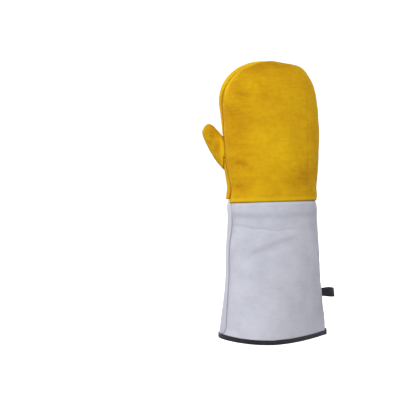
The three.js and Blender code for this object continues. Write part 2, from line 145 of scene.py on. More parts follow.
def rib_profile(rib, wall, crown_steps):
    """Distance in from the edge, height over the seam plane and distance from the seam, for the
    points of each rib: along the seam allowance, round the rolled edge and up to the ridge."""
    roll, reach, stitch = rib.roll[:, None], rib.reach[:, None], rib.stitch[:, None]
    rise = rib.depth[:, None] - roll - SEAM_GAP / 2
    crown, fullness = rib.crown[:, None], rib.fullness[:, None]
    roll_top = SEAM_GAP / 2 + roll
    floor = np.full_like(reach, SEAM_GAP / 2 + wall)
    arc = np.linspace(0, math.pi / 2, ARC_STEPS + 1)[None]
    turn = np.linspace(0, math.pi / 2, crown_steps + 1)[None, 1:]
    across, up = crown_point(turn, crown, fullness)
    fallen = np.maximum(1 - across**crown, 1e-9)
    steepness = rise * fullness * crown * across ** (crown - 1) * fallen ** (fullness - 1) / reach
    length = np.hypot(steepness, 1)
    tightness = 2 / rib.lip[:, None] if wall == 0 else 1
    arc_inward = roll - (roll - wall) * np.sin(arc) ** tightness
    arc_height = roll_top - (roll - wall) * np.cos(arc) ** tightness
    crown_inward = reach * (1 - across) + wall * steepness / length
    crown_height = roll_top + rise * up - wall / length
    shown = rib.shown[:, None]
    allowance_end = np.minimum(stitch + SEAM_ALLOWANCE, 0.5 * (stitch + reach))
    under = np.hstack([allowance_end, stitch, np.maximum(shown, roll), arc_inward])
    inward = np.hstack([under, crown_inward])
    height = np.hstack([floor, floor, floor, arc_height, crown_height])
    to_seam = np.hstack([np.maximum(shown - under, 0), shown + crown_inward])
    return inward, height, to_seam + height - floor


def foot_roll(distance):
    """How far leather turns in at a seam, by its distance from the seam."""
    near = np.clip(1 - distance / FOOT_ROLL, 0, 1)
    pull = FOOT_PULL * np.exp(-((distance / FOOT_PULL_REACH) ** 2))
    return FOOT_ROLL * (1 - np.sqrt(1 - near**2)) + pull


def place(rib, inward, height, wall):
    """Points of a panel in space."""
    turned = 0
    if rib.foot is not None:
        inner = (FOOT_ROLL + FOOT_PULL) * np.exp(-((rib.foot / FOOT_ROLL / 2) ** 2))
        turned = (foot_roll(rib.foot) if wall == 0 else inner)[:, None]
        turned = turned * rising(height, SEAM_GAP / 2, rib.roll[:, None])
    e = inward + turned * (1 - inward / rib.reach[:, None])
    x = rib.edge[:, :1] + rib.inward[:, :1] * e
    z = rib.edge[:, 1:] + rib.inward[:, 1:] * e
    y = rib.plane + rib.side * (height - turned)
    if rib.foot is not None and rib.side == BACK:
        dip = JOINT_DIP_LEFT + (JOINT_DIP_RIGHT - JOINT_DIP_LEFT) * rising(
            x, -JOINT_HALF_WIDTH, 2 * JOINT_HALF_WIDTH)
        z = z - dip * np.exp(-(((z - JOINT) / JOINT_DIP_REACH) ** 2))
    return np.stack([x, y, z], axis=2)


def shell(name, outer, inner, to_seam, along, closed_last):
    """Closed mesh object from an outer and an inner grid of points, welded where they meet. Each
    point keeps its distance from the nearest seam and its place along it, for the leather."""
    rows, columns = outer.shape[:2]
    out = np.arange(rows * columns).reshape(rows, columns)
    ins = out + rows * columns

    def strip(a, b, c, d):
        return np.stack([a, b, c, d], axis=-1).reshape(-1, 4)

    quads = [
        strip(out[:-1, :-1], out[1:, :-1], out[1:, 1:], out[:-1, 1:]),
        strip(ins[:-1, :-1], ins[:-1, 1:], ins[1:, 1:], ins[1:, :-1]),
        strip(out[:-1, 0], ins[:-1, 0], ins[1:, 0], out[1:, 0]),
        strip(out[0, :-1], out[0, 1:], ins[0, 1:], ins[0, :-1]),
        strip(out[-1, :-1], ins[-1, :-1], ins[-1, 1:], out[-1, 1:]),
    ]
    if closed_last:
        quads.append(strip(out[:-1, -1], out[1:, -1], ins[1:, -1], ins[:-1, -1]))
    points = np.concatenate([outer.reshape(-1, 3), inner.reshape(-1, 3)])
    marks = {"to_seam": np.tile(to_seam.ravel(), 2), "along_seam": np.tile(np.repeat(along, columns), 2),
             "outside": np.repeat([1.0, 0.0], rows * columns), "darkened": np.zeros(len(points))}
    return welded(name, points, np.concatenate(quads), marks)


def welded(name, points, quads, marks):
    """Mesh object in the model's frame, from points in millimetres, with faces that point out."""
    _, first, index = np.unique(np.round(points * WELDS_PER_MM).astype(np.int64), axis=0,
                                return_index=True, return_inverse=True)
    corners = index.reshape(-1)[quads]
    points = points[first]
    a, b, c, d = (points[corners[:, k]] for k in range(4))
    volume = np.einsum("ij,ij->", a, np.cross(b, c)) + np.einsum("ij,ij->", a, np.cross(c, d))
    if volume < 0:
        corners = corners[:, ::-1]
    faces = []
    for face in corners.tolist():
        kept = [v for k, v in enumerate(face) if v != face[k - 1]]
        if len(set(kept)) > 2:
            faces.append(kept)
    mesh = bpy.data.meshes.new(name)
    mesh.from_pydata(points * MM + [shift_x, 0, 0], [], faces)
    for key, values in marks.items():
        mesh.attributes.new(key, "FLOAT", "POINT").data.foreach_set("value", values[first])
    mesh.shade_smooth()
    return linked(name, mesh)


def linked(name, data):
    """New object of some mesh, lamp or camera, in the scene."""
    thing = bpy.data.objects.new(name, data)
    bpy.context.scene.collection.objects.link(thing)
    return thing


def read_points(piece):
    """A piece's points and their normals, in millimetres in the glove's own measures."""
    count = len(piece.data.vertices)
    points, normals = np.empty(count * 3), np.empty(count * 3)
    piece.data.vertices.foreach_get("co", points)
    piece.data.vertices.foreach_get("normal", normals)
    return (points.reshape(-1, 3) - [shift_x, 0, 0]) / MM, normals.reshape(-1, 3)


def read_mark(piece, name):
    values = np.empty(len(piece.data.vertices))
    piece.data.attributes[name].data.foreach_get("value", values)
    return values


def write_mark(piece, name, values):
    piece.data.attributes[name].data.foreach_set("value", values)


def raise_surface(piece, amount):
    """Moves a piece's outer points along their normals by an amount in millimetres."""
    points, normals = read_points(piece)
    moved = points + normals * (amount * read_mark(piece, "outside"))[:, None]
    piece.data.vertices.foreach_set("co", (moved * MM + [shift_x, 0, 0]).ravel())
    piece.data.update()


def undulation(points, size, seed):
    """Smooth random swells of about one size, from -1 to 1."""
    offset = Vector((seed, 0.37 * seed, -0.61 * seed))
    return np.array([noise.noise(Vector(p) / size + offset) for p in points])


def creases(columns, *rows):
    """A short table of creases: its named values, and then the places that each line runs through."""
    names = columns.split()
    return [dict(zip(names, row), line=np.array(row[len(names):], float)) for row in rows]


def line_falloff(points, line, taper):
    """Distance of each point, seen from the back, from a line through a few places, and how much
    of the line's strength is left there as it runs out at its ends."""
    place_xz = points[:, [0, 2]]
    best, strength = np.full(len(points), 1e9), np.zeros(len(points))
    lengths = np.linalg.norm(np.diff(line, axis=0), axis=1)
    total, start = lengths.sum(), 0
    for a, b, length in zip(line[:-1], line[1:], lengths):
        t = np.clip(((place_xz - a) @ (b - a)) / length**2, 0, 1)
        distance = np.linalg.norm(place_xz - a - t[:, None] * (b - a), axis=1)
        where = start + t * length
        left = smoothstep(np.minimum(where, total - where) / taper)
        strength = np.where(distance < best, left, strength)
        best = np.minimum(best, distance)
        start += length
    return best, strength


def pressed(points, rows):
    """Depth of the creases at each point, with a low swell on both sides of some, and how much
    darker the leather is painted in them, as painted shade in the groove. A crease with a negative depth
    stands out instead."""
    depth, crease_shade = np.zeros(len(points)), np.zeros(len(points))
    for crease in rows:
        distance, strength = line_falloff(points, crease["line"], crease["taper"])
        groove = np.exp(-((distance / crease["width"]) ** 2))
        swell = np.exp(-(((distance - 2.1 * crease["width"]) / crease["width"]) ** 2))
        depth += crease["depth"] * strength * (groove - crease.get("swell", 0) * swell)
        crease_shade += crease["dark"] * strength * groove
    return depth, crease_shade


def patches(points, rows):
    """How strongly each point lies in one of the listed patches of tone: some are darker smudges of use,
    some painted shade, and painted highlight where the strength is negative.
    """
    total = np.zeros(len(points))
    ragged = 1 + 0.35 * undulation(points, 7, 21.0)
    for x, z, width, height, strength in zip(*rows.values()):
        dx, dz = (points[:, 0] - x) / width, (points[:, 2] - z) / height
        total += strength * np.exp(-((dx * dx + dz * dz) * ragged))
    return total


def fold_back(grid, rise):
    """Presses the broad folds into the back, each a long soft hollow or, where its depth is
    negative, a swell. Rise is each point's share of the panel's depth, for they end by the seams."""
    depth = 0
    for x, z, length, width, fold_depth, tilt in zip(*back_folds.values()):
        turn = math.radians(tilt)
        dx, dz = grid[:, :, 0] - x, grid[:, :, 2] - z
        lengthwise = (dx * math.cos(turn) + dz * math.sin(turn)) / length
        across = (dz * math.cos(turn) - dx * math.sin(turn)) / width
        depth = depth + fold_depth * np.exp(-lengthwise**2 - across**2)
    grid[:, :, 1] += smoothstep(rise, 0.35, 0.75) * depth


def panel_grids(rib, crown_steps):
    """Outer and inner grid of a panel's points, and their distance from the nearest seam."""
    grids = []
    for wall in (WALL, 0):
        inward, height, to_seam = rib_profile(rib, wall, crown_steps)
        grids.insert(0, place(rib, inward, height, wall))
        if rib.side == BACK and rib.foot is not None:
            fold_back(grids[0], height / rib.depth[:, None])
    if rib.foot is not None:
        to_seam = np.minimum(to_seam, rib.foot[:, None])
    return *grids, to_seam


def panel(name, rib, crown_steps):
    return shell(name, *panel_grids(rib, crown_steps), rib.along, closed_last=False)


HAND_ROLL = 5.5
HAND_LIP = 4.2
HAND_CROWN = 2.25
HAND_FULLNESS = 0.45
RIGHT_PALM_INSET = 1
HAND_ALLOWANCE, HAND_ALLOWANCE_EDGE = 13, 1.6
LIP_HIGHLIGHT_FROM_SEAM, LIP_HIGHLIGHT_WIDTH = 13, 6
DOME_X, DOME_Z = -3.6, 345
SIDE_STEPS, DOME_STEPS, ARC_STEPS, CROWN_STEPS = 72, 132, 8, 46

hand = table(
    "height   left  right  inset  back  palm",
    (210, -72.4, 69.4, 5.6, 36.0, 36.0),
    (227, -68.8, 68.0, 5.2, 36.6, 38.0),
    (252, -72.8, 70.0, 3.8, 37.0, 40.0),
    (276, -75.2, 71.6, 1.8, 36.8, 40.6),
    (313, -76.4, 72.6, 1.2, 35.6, 39.2),
    (345, -79.8, 70.8, 2.8, 35.0, 38.2),
)
dome = table(
    "angle radius inset",
    (0, 74.4, 0), (10, 73.6, 0), (20, 75.2, 0), (30, 77.8, 0), (40, 80.0, 0), (50, 82.4, 0),
    (57, 82.2, 0), (66, 79.2, 0), (77, 76.8, 0.4), (90, 78.2, 1.8), (104, 80.2, 4.2),
    (118, 82.3, 5.8), (132, 84.3, 6.4), (144, 84.2, 6.2), (156, 83.0, 5.6), (168, 79.8, 4.4),
    (180, 76.2, 2.8),
)
back_folds = table(
    "  x    z  length width depth tilt",
    (-2, 165, 62, 4.5, 0.7, -1),
    (-6, 176, 60, 9, -0.8, -2),
    (-4, 138, 46, 7, 0.9, 22),
    (-12, 149, 40, 8, -0.6, 18),
    (-52, 226, 26, 12, 1.6, 8),
    (-34, 356, 24, 14, 1.4, 0),
)


def hand_ribs(side):
    """The hand's ribs, up its thumb side, round the fingertip dome and down the other side."""
    foot = np.concatenate([FOOT_ROLL * (1 - np.cos(np.linspace(0, math.pi / 2, 8))),
                           np.linspace(FOOT_ROLL, DOME_Z - JOINT, SIDE_STEPS)[1:]])
    height = JOINT + JOINT_GAP + foot * (1 - JOINT_GAP / (DOME_Z - JOINT))
    depth = read_off(hand, "back" if side == BACK else "palm", height)
    middle = DOME_X * foot / (DOME_Z - JOINT)
    angle = math.pi * (1 - np.arange(1, DOME_STEPS) / DOME_STEPS)
    degrees = np.degrees(angle)
    radius = read_off(dome, "radius", degrees, "angle")

    def once_round(up, over, down):
        over, down = np.broadcast_to(over, angle.shape), np.broadcast_to(down, height.shape)
        return np.concatenate([up, over, down[::-1]])

    x = once_round(read_off(hand, "left", height), DOME_X + radius * np.cos(angle),
                   read_off(hand, "right", height))
    z = once_round(height, DOME_Z + radius * np.sin(angle), height)
    spine = np.stack([once_round(middle, DOME_X, middle), once_round(height, DOME_Z, height)], 1)
    back_inset = once_round(read_off(hand, "inset", height), read_off(dome, "inset", degrees, "angle"), 0)
    palm_inset = once_round(0 * height, RIGHT_PALM_INSET * smoothstep(90 - degrees, 0, 60),
                            RIGHT_PALM_INSET)
    return ribs(side, np.stack([x, z], 1), spine, back_inset, palm_inset, HAND_ROLL,
                foot=once_round(foot, foot[-1], foot), depth=once_round(depth, depth[-1], depth),
                crown=HAND_CROWN, fullness=HAND_FULLNESS, lip=HAND_LIP)


def leather_life(piece, seed, swell=0.5, pucker=0.3):
    """Low random swells all over, and small gathers where the seam draws the leather in."""
    points, _ = read_points(piece)
    to_seam, along = read_mark(piece, "to_seam"), read_mark(piece, "along_seam")
    gathers = np.array([noise.noise(Vector((a / 5.5, seed, 0))) for a in along])
    near_seam = np.exp(-(((to_seam - 5) / 6) ** 2))
    lift = swell * undulation(points, 34, seed) + 0.45 * swell * undulation(points, 13, seed + 9)
    return rising(to_seam, 0, 8) * (lift + pucker * gathers * near_seam)


hand_back = panel("hand_back_leather", hand_ribs(BACK), CROWN_STEPS)
points, _ = read_points(hand_back)
x, y, z = points.T
allowance_ridge = 0.45 / (1 + np.exp((z - JOINT - HAND_ALLOWANCE) / HAND_ALLOWANCE_EDGE))
# The dark column is painted shade in each crease's groove.
hand_creases = creases(
    "taper width depth dark",
    (14, 4, 0.5, 0.25, (-60, 236), (-44, 240), (-28, 238)),
    (9, 4, 0.7, 0.7, (-66, 262), (-56, 264), (-44, 259)),
    (7, 4, 0.5, 0.5, (-64, 224), (-57, 229), (-50, 226)),
    (9, 3, 0.6, 0.6, (-66, 369), (-57, 368), (-46, 362), (-38, 363)),
    (14, 4, 0.5, 0.2, (-68, 352), (-54, 350), (-38, 353)),
    (8, 4, 0.5, 0.4, (-69, 334), (-62, 338), (-54, 333)),
    (14, 5, 0.35, 0.2, (-30, 356), (-14, 361), (4, 357)),
    (14, 5, 0.3, 0, (20, 340), (36, 330), (52, 332)),
    (10, 4, 0.4, 0.3, (34, 244), (46, 252), (54, 262)),
    (20, 1.8, 0.45, 0.5, (46, 226), (48, 280), (48, 340), (45, 384)),
)
# Tone patches: some are darker smudges of use; the darker ones down the left column and the right side are
# painted shade, and the lighter middle patch with negative strength is painted highlight.
hand_smudges_and_shading = table(
    "  x    z   width height strength",
    (-69, 337, 9, 12, 0.9),
    (-60, 312, 17, 52, 1.3),
    (-18, 416, 50, 20, 1.4),
    (-52, 366, 15, 6, 0.8),
    (-63, 386, 8, 7, 0.6),
    (-66, 268, 7, 8, 0.7),
    (-50, 261, 12, 7, 0.8),
    (-56, 228, 14, 9, 1.1),
    (-4, 276, 30, 30, -1.2),
    (-20, 357, 11, 7, 0.5),
    (-6, 392, 12, 11, 0.35),
    (40, 397, 10, 6, 0.35),
    (36, 244, 24, 26, 1.5),
    (58, 300, 8, 46, 0.5),
    (36, 352, 10, 5, 0.3),
)
depth, crease_shade = pressed(points, hand_creases)
raise_surface(hand_back, leather_life(hand_back, 3.1) + allowance_ridge - depth)
# Painted highlight: the back panel's lip on the upper left of the dome is made lighter, where its raised
# edge catches the light.
painted_lip_highlight = np.exp(-(((read_mark(hand_back, "to_seam") - LIP_HIGHLIGHT_FROM_SEAM) / LIP_HIGHLIGHT_WIDTH) ** 2))
painted_lip_highlight *= rising(z, 355, 25) * rising(-x, 0, 20)
write_mark(hand_back, "darkened", crease_shade + patches(points, hand_smudges_and_shading) - 2.4 * painted_lip_highlight)
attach(hand_back, "root")
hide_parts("hand_back")


class Value:
    """One output of a node. Plain arithmetic on it adds the Math nodes."""

    def __init__(self, graph, output):
        self.graph = graph
        self.output = output

    def math(self, operation, *others):
        return self.graph.node("ShaderNodeMath", {"operation": operation},
                               dict(enumerate([self, *others])))

    def __add__(self, other):
        return self.math("ADD", other)

    def __sub__(self, other):
        return self.math("SUBTRACT", other)

    def __rsub__(self, other):
        return self * -1 + other

    def __mul__(self, other):
        return self.math("MULTIPLY", other)

    __radd__ = __add__
    __rmul__ = __mul__


class Graph:
    """A node tree. Settings are put on a node first, and then its values and links."""

    def __init__(self, tree):
        self.tree = tree

    def node(self, kind, settings, inputs, output=0):
        node = self.tree.nodes.new(kind)
        for key, value in settings.items():
            setattr(node, key, value)
        self.fill(node, inputs)
        return Value(self, node.outputs[output])

    def fill(self, node, inputs):
        for key, value in inputs.items():
            if isinstance(value, Value):
                self.tree.links.new(value.output, node.inputs[key])
            else:
                node.inputs[key].default_value = value


class Finish(Graph):
    """A material, built node by node round one Principled shader."""

    def __init__(self, name, roughness, sheen=0.0, sheen_tint=(1, 1, 1, 1)):
        self.material = bpy.data.materials.new(name)
        self.material.use_nodes = True
        super().__init__(self.material.node_tree)
        self.shader = self.tree.nodes["Principled BSDF"]
        self.feed({"Roughness": roughness, "Specular IOR Level": 0.08, "Sheen Weight": sheen,
                   "Sheen Tint": sheen_tint})

    def coordinates(self, scale=(1, 1, 1)):
        place = self.node("ShaderNodeTexCoord", {}, {}, "Object")
        return self.node("ShaderNodeMapping", {}, {"Vector": place, "Scale": scale})

    def noise(self, size, where=None, detail=3, roughness=0.55):
        """Cloudy pattern from 0 to 1 with clouds of about one size, in millimetres."""
        where = where or self.coordinates()
        return self.node("ShaderNodeTexNoise", {}, {"Vector": where, "Scale": 1 / (size * MM),
                                                    "Detail": detail, "Roughness": roughness})

    def mark(self, name):
        return self.node("ShaderNodeAttribute", {"attribute_name": name}, {}, "Fac")

    def smooth(self, value, low, high):
        """0 below low, 1 above high, and smooth between."""
        return self.node("ShaderNodeMapRange", {"interpolation_type": "SMOOTHSTEP"},
                         {"Value": value, "From Min": low, "From Max": high})

    def mix(self, factor, first, second):
        return self.node("ShaderNodeMix", {"data_type": "RGBA"}, {0: factor, 6: first, 7: (*second, 1)}, 2)

    def ramp(self, tone, *stops):
        """Colour by tone, from stops of a tone with its red, green and blue."""
        colour = self.node("ShaderNodeValToRGB", {}, {"Fac": tone})
        elements = colour.output.node.color_ramp.elements
        while len(elements) < len(stops):
            elements.new(1)
        for element, (position, *rgb) in zip(elements, stops):
            element.position, element.color = position, (*rgb, 1)
        return colour

    def beside_seams(self, colour, lip, lip_wear_highlight_colour, line, seam_shade_share, seam_shade_colour):
        """A colour with a lighter lip beside each seam, partly worn leather and partly painted highlight,
        and a dark line of painted shade in the seam.
        """
        to_seam = self.mark("to_seam")
        lit_worn_lip = self.smooth(to_seam, *lip[:2]) * (1 - self.smooth(to_seam, *lip[2:]))
        colour = self.mix(lit_worn_lip * 0.4, colour, lip_wear_highlight_colour)
        return self.mix((1 - self.smooth(to_seam, *line)) * seam_shade_share, colour, seam_shade_colour)

    def bump(self, height, distance, normal=None):
        inputs = {"Height": height, "Distance": distance * MM, "Strength": 1.0}
        if normal is not None:
            inputs["Normal"] = normal
        return self.node("ShaderNodeBump", {}, inputs)

    def feed(self, inputs):
        self.fill(self.shader, inputs)


def yellow_suede():
    """Yellow split leather: a brushed nap with cloudy patches where it lies one way or the other,
    fine level streaks from the brushing, painted shade in the seams and a lighter lip beside them, partly
    worn leather and partly painted highlight."""
    suede = Finish("yellow suede", roughness=0.88, sheen=0.15, sheen_tint=(1.0, 0.66, 0.02, 1))
    clouds = suede.noise(22, detail=4, roughness=0.6)
    blotches = suede.noise(7, detail=4, roughness=0.65)
    streaks = suede.noise(2.6, suede.coordinates(scale=(0.12, 0.3, 1)), detail=3)
    nap = suede.noise(0.9, detail=4, roughness=0.7)
    darkened = suede.mark("darkened")
    tone = 0.09 + clouds * 0.20 + blotches * 0.18 + streaks * 0.16 + nap * 0.28
    # The darkened mark holds smudges of use, and also painted shade and, where it is negative, painted
    # highlight.
    tone = tone - darkened * (0.045 + 0.05 * blotches)
    colour = suede.ramp(tone, (0.34, 0.455, 0.208, 0.002), (0.44, 0.580, 0.302, 0.003),
                        (0.54, 0.670, 0.388, 0.004), (0.64, 0.760, 0.468, 0.005))
    # Lighter lip colour: partly wear and partly painted highlight. Dark seam colour: painted shade in the
    # seam groove.
    colour = suede.beside_seams(colour, (1.2, 2.2, 4.0, 8.0), (0.86, 0.57, 0.010),
                                (0.3, 1.4), 0.75, (0.33, 0.130, 0.002))
    relief = suede.bump(blotches * 0.6 + streaks * 0.4, 0.35, suede.bump(nap, 0.16))
    suede.feed({"Base Color": colour, "Roughness": suede.smooth(nap, 0.3, 0.7) * 0.1 + 0.83,
                "Normal": relief})
    return suede.material


suede = yellow_suede()
hand_back.data.materials.append(suede)


# Palm of the hand: the same leather, cut a little wider than the back, so that its rolled edge
# shows beyond the seam on the thumb side. A mouth in its side opens into the thumb.

hand_palm = panel("hand_palm_leather", hand_ribs(PALM), CROWN_STEPS)
hand_palm.data.materials.append(suede)


# Thumb: two half shells of the same leather, sewn round their edge and turned. The root is
# trimmed to the hand and sewn to it, and the thumb's hollow opens into the hand's.

THUMB_PLANE = 14
THUMB_ROLL = 3.6
THUMB_ROOT = (-54, 268)
THUMB_TIP = (-96.2, 312)
THUMB_DEPTH_ROOT, THUMB_DEPTH_TIP = 20, 13
THUMB_SIDE_RIBS, THUMB_TIP_RIBS = 36, 48
THUMB_CROWN_STEPS = 22
THUMB_MOUTH_CLEARANCE = 2.2
HAND_CLEARANCE, THUMB_CLEARANCE = 0.25, 0.1
STRIP_PAINT_WIDTH = 4
THUMB_SEAM_ROLL = 1.8
ROOT_SEAM_SOFTNESS = 0.6
thumb_outline = (
    (-56, 243), (-66, 250.5), (-76.4, 260.5), (-89, 276), (-99.4, 294.5), (-105.8, 311),
    (-104.6, 320.5), (-98.6, 326.2), (-91, 324), (-84.2, 317.4), (-76, 309.5), (-62, 300.5),
)
thumb_seam = table(
    "way_round inset",
    (0, 0.4), (0.15, 1.2), (0.3, 1.8), (0.42, 1.6), (0.52, 1.0), (0.62, 0.4), (0.72, 0.1), (1, 0),
)


def evenly(line, count):
    """Evenly spaced points along a line of points, and how far along it each one is."""
    run = run_length(line)
    even = np.linspace(0, run[-1], count)
    return np.stack([np.interp(even, run, line[:, k]) for k in range(2)], 1), even


def spline_points(knots, count):
    """Evenly spaced points on a smooth curve through the knots."""
    knots = np.array(knots, float)
    last = len(knots) - 1
    s = np.linspace(0, last, 60 * last + 1)
    i = np.minimum(s.astype(int), last - 1)
    t = (s - i)[:, None]
    before, after = np.maximum(i - 1, 0), np.minimum(i + 2, last)
    slope, next_slope = (knots[i + 1] - knots[before]) / 2, (knots[after] - knots[i]) / 2
    curve = smooth_curve(t, 1, knots[i], knots[i + 1], slope, next_slope)
    return evenly(curve, count)[0]


def thumb_ribs(side, depth_margin=0.0, shrink=0.0):
    """The thumb's ribs, out along its lower edge, round its tip and back along its upper edge."""
    count = 2 * THUMB_SIDE_RIBS + THUMB_TIP_RIBS + 1
    from_end = np.minimum(np.arange(count), np.arange(count)[::-1])
    share = np.minimum(from_end / THUMB_SIDE_RIBS, 1)[:, None]
    spine = np.array(THUMB_ROOT) * (1 - share) + np.array(THUMB_TIP) * share
    depth = THUMB_DEPTH_ROOT + (THUMB_DEPTH_TIP - THUMB_DEPTH_ROOT) * share[:, 0] - depth_margin
    back_inset = read_off(thumb_seam, "inset", np.linspace(0, 1, count), "way_round") + shrink
    return ribs(side, spline_points(thumb_outline, count), spine, back_inset, np.full(count, shrink),
                THUMB_ROLL, plane=THUMB_PLANE, depth=depth, crown=2.0, fullness=0.5, lip=HAND_LIP)


def filled(name, rib, margin, crown_steps):
    """Solid body from a seam plane to a panel's outer face, grown by a margin. It only cuts."""
    inward, height, _ = rib_profile(rib, 0, crown_steps)
    inward, height = inward[:, 3 + ARC_STEPS:], height[:, 3 + ARC_STEPS:]
    share = np.linspace(0, 1, inward.shape[1])[None]
    inward, height = inward - margin * (1 - share), height + margin * share
    start = np.full((len(inward), 1), -float(margin))
    inward, height = np.hstack([start, inward]), np.hstack([0 * start, height])
    spread = np.linspace(0, 1, inward.shape[1])[None]
    base_inward = -margin + (rib.reach[:, None] + margin) * spread
    outer = place(rib, inward, height, 0)
    base = place(rib, base_inward, np.full_like(base_inward, -0.05), 0)
    return shell(name, outer, base, np.zeros(outer.shape[:2]), rib.along, closed_last=False)


def apply_steps(piece):
    """Gives a piece the mesh that its modifiers make, and takes them off."""
    bpy.context.view_layer.update()
    made = bpy.data.meshes.new_from_object(piece.evaluated_get(bpy.context.evaluated_depsgraph_get()))
    piece.modifiers.clear()
    old, piece.data = piece.data, made
    bpy.data.meshes.remove(old)
    made.name = piece.name


def cut_away(piece, cutters):
    """Takes the cutters' bodies out of a piece."""
    for cutter in cutters:
        step = piece.modifiers.new("cut", "BOOLEAN")
        step.object, step.operation, step.solver = cutter, "DIFFERENCE", "EXACT"
    apply_steps(piece)


def surface_tree(pieces):
    """The surfaces of some pieces, ready for nearest-point questions."""
    corners, faces = [], []
    for piece in pieces:
        start = len(corners)
        corners += [v.co.copy() for v in piece.data.vertices]
        faces += [[start + v for v in face.vertices] for face in piece.data.polygons]
    return BVHTree.FromPolygons(corners, faces)


def roll_into_seam(piece, neighbours, radius):
    """Turns a piece's outer face in where it meets another surface, as a turned seam does."""
    tree = surface_tree(neighbours)
    outside, to_seam = read_mark(piece, "outside"), read_mark(piece, "to_seam")
    amount = np.zeros(len(outside))
    for k in np.nonzero(outside)[0]:
        found = tree.find_nearest(piece.data.vertices[k].co, 10 * MM)
        if found[0] is not None:
            distance = found[3] / MM
            # This distance also places the painted seam shade and the lighter lip at the thumb's root.
            to_seam[k] = min(to_seam[k], distance + ROOT_SEAM_SOFTNESS)
            near = max(1 - distance / radius, 0)
            amount[k] = -radius * (1 - math.sqrt(max(1 - near**2, 0)))
    raise_surface(piece, amount)
    write_mark(piece, "to_seam", to_seam)


hand_bodies, thumb_bodies, thumb_hollows = [], [], []
for side in (BACK, PALM):
    hand_bodies.append(filled("hand_body", hand_ribs(side), HAND_CLEARANCE, 30))
    thumb_bodies.append(filled("thumb_body", thumb_ribs(side), THUMB_CLEARANCE, 20))
    margin = WALL + (THUMB_MOUTH_CLEARANCE if side == BACK else 0)
    thumb_hollows.append(filled("thumb_hollow", thumb_ribs(side, margin, WALL), 0, 20))

# The dark column is painted shade in each crease's groove.
thumb_creases = creases(
    "taper width depth dark",
    (6, 3, 0.5, 0.4, (-101, 306), (-92, 303), (-86, 309)),
    (6, 3, 0.5, 0.5, (-92, 284), (-82, 282), (-76, 288)),
)
thumb_patches = table(
    "  x    z   width height strength",
    (-93, 311, 5, 8, 1.6),
    (-101, 316, 3, 7, 1.0),
    (-86, 291, 5, 9, 1.6),
    (-96, 297, 4, 6, 1.2),
    (-78, 272, 7, 5, 1.3),
)
for name, side in (("thumb_back", BACK), ("thumb_palm", PALM)):
    half = panel(name + "_leather", thumb_ribs(side), THUMB_CROWN_STEPS)
    points, _ = read_points(half)
    depth, crease_shade = pressed(points, thumb_creases)
    raise_surface(half, leather_life(half, 5.3 + side, swell=0.5, pucker=0.25) - depth)
    write_mark(half, "darkened", crease_shade + patches(points, thumb_patches))
    roll_into_seam(half, hand_bodies, THUMB_SEAM_ROLL)
    cut_away(half, hand_bodies)
    half.data.materials.append(suede)
    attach(half, "root")
    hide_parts(name)

raise_surface(hand_palm, leather_life(hand_palm, 8.2, swell=0.7))
points, _ = read_points(hand_palm)
x, y, z = points.T
# Painted light on the palm's strip beyond the seam: painted shade up the side of the hand, and painted
# highlight round the dome.
strip = np.exp(-((y / STRIP_PAINT_WIDTH) ** 2)) * (x < 10) * (2.0 - 3.6 * rising(z, 362, 26))
write_mark(hand_palm, "darkened", np.maximum(undulation(points, 24, 6.3), 0) * 1.2 + strip)
roll_into_seam(hand_palm, thumb_bodies, THUMB_SEAM_ROLL)
cut_away(hand_palm, thumb_hollows)
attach(hand_palm, "root")
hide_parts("hand_palm")
for cutter in hand_bodies + thumb_bodies + thumb_hollows:
    bpy.data.objects.remove(cutter)


# Cuff: two long panels of smooth grey-white split leather, sewn up both sides and flared to the
# hem. The back panel carries a few soft creases under the wrist.

CUFF_ROLL = 4
CUFF_LIP = 7
CUFF_BOTTOM = 2
CUFF_ROWS = 190
CUFF_CROWN_STEPS = 54
LEFT_CROWN = 2.0
cuff = table(
    "height left right ridge depth left_edge right_edge right_crown",
    (2, -82.0, 85.2, -12, 50.8, 0.80, 1.06, 1.65),
    (12, -81.2, 85.4, -11, 49.8, 0.77, 1.02, 1.66),
    (24, -79.7, 84.9, -10, 48.6, 0.72, 0.96, 1.68),
    (54, -75.7, 81.0, -8, 46.2, 0.62, 0.80, 1.75),
    (85, -72.4, 76.7, -6, 43.6, 0.54, 0.70, 1.85),
    (131, -71.4, 73.6, -3, 40.0, 0.50, 0.56, 1.95),
    (162, -69.4, 71.0, -1, 37.6, 0.50, 0.50, 2.00),
    (190, -68.0, 68.9, 0, 36.4, 0.48, 0.48, 2.06),
    (210, -68.2, 68.3, 0, 35.6, 0.48, 0.48, 2.10),
)


cuff_seam = table(
    "height inset right_inset",
    (2, 0.4, 0.4), (6, 6.0, 1.6), (13, 9.0, 2.8), (22, 8.8, 3.2), (31, 8.2, 2.8), (40, 7.4, 2.2),
    (50, 6.7, 1.6), (60, 6.0, 1.0), (77, 5.4, 0.4), (100, 5.3, 0.0), (123, 5.0, 0.0),
    (136, 4.7, 0.0), (150, 5.2, 0.0), (161, 6.3, 0.0), (172, 6.7, 0.0), (182, 6.2, 0.0),
    (193, 5.0, 0.0), (210, 3.9, 0.0),
)


def cuff_ribs(side, left, height, foot=None):
    inset = read_off(cuff_seam, "inset" if left else "right_inset", height)
    outline = np.stack([read_off(cuff, "left" if left else "right", height), height], 1)
    spine = np.stack([read_off(cuff, "ridge", height), height], 1)
    crown = LEFT_CROWN if left else read_off(cuff, "right_crown", height)
    return ribs(side, outline, spine, inset, 0 * inset, CUFF_ROLL, foot=foot, crown=crown,
                fullness=read_off(cuff, "left_edge" if left else "right_edge", height),
                depth=read_off(cuff, "depth", height), lip=CUFF_LIP)


